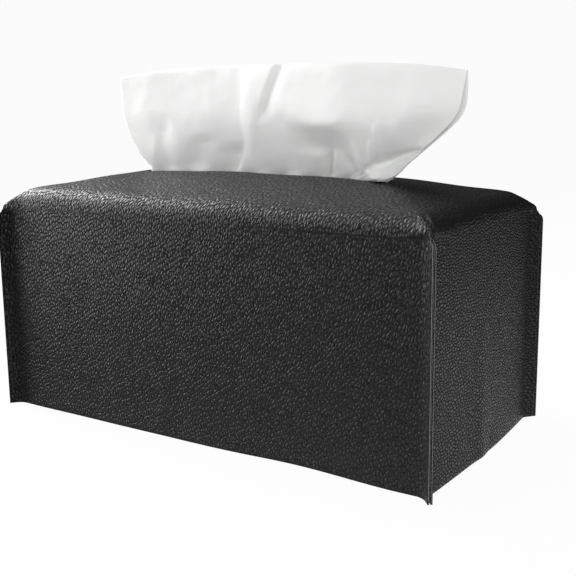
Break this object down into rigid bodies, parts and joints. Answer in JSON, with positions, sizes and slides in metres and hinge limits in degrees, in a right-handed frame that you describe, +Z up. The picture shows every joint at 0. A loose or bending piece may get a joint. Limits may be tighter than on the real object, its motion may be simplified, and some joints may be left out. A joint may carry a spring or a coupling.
{
  "type": "tissue box cover",
  "caption": "Soft rectangular tissue box cover in black grained leather: crowned top with a long slot, corner seams sewn as outward fins, a fold-open belt under the base and a tissue in the slot.",
  "frame": {"origin": "centre of the rectangular base, at the level of the hem that the cover stands on", "axes": "+X along the cover, +Y to its rear so that the front wall faces -Y, +Z up"},
  "size_m": [0.2594, 0.1326, 0.184],
  "materials": {
    "leather": "black leather with a round pebbled grain and a soft satin sheen",
    "backing": "fine grey knitted backing cloth, matt",
    "thread": "black bonded sewing thread, slightly glossy",
    "hook_and_loop": "black woven hook and loop tape",
    "tissue": "soft white two-ply tissue, matt and slightly translucent"
  },
  "bodies": {
    "cover": {"leather_skin": "leather", "backing_cloth": "backing", "front_left_seam_thread": "thread", "front_right_seam_thread": "thread", "rear_left_seam_thread": "thread", "rear_right_seam_thread": "thread", "front_belt_tab": "leather", "rear_belt_tab": "leather", "front_tab_thread": "thread", "rear_tab_thread": "thread"},
    "front_belt": {"front_belt_strap": "leather", "hook_patch": "hook_and_loop", "hook_patch_thread": "thread"},
    "rear_belt": {"rear_belt_strap": "leather", "loop_patch": "hook_and_loop", "loop_patch_thread": "thread"},
    "tissue": {"tissue_sheet": "tissue"}
  },
  "joints": [
    {"name": "rear_belt_fold", "type": "hinge", "parent": "cover", "child": "rear_belt", "pos_m": [0, 0.05965, 0.0003], "axis": [1, 0, 0], "range_deg": [0, 120]},
    {"name": "front_belt_fold", "type": "hinge", "parent": "cover", "child": "front_belt", "pos_m": [0, -0.05965, 0.0003], "axis": [-1, 0, 0], "range_deg": [0, 72]},
    {"name": "tissue_pull", "type": "slide", "parent": "cover", "child": "tissue", "axis": [0, 0, 1], "range_m": [0, 0.1]}
  ],
  "couplings": [
    {"joint": "front_belt_fold", "follows": "rear_belt_fold", "ratio": 0.6}
  ]
}
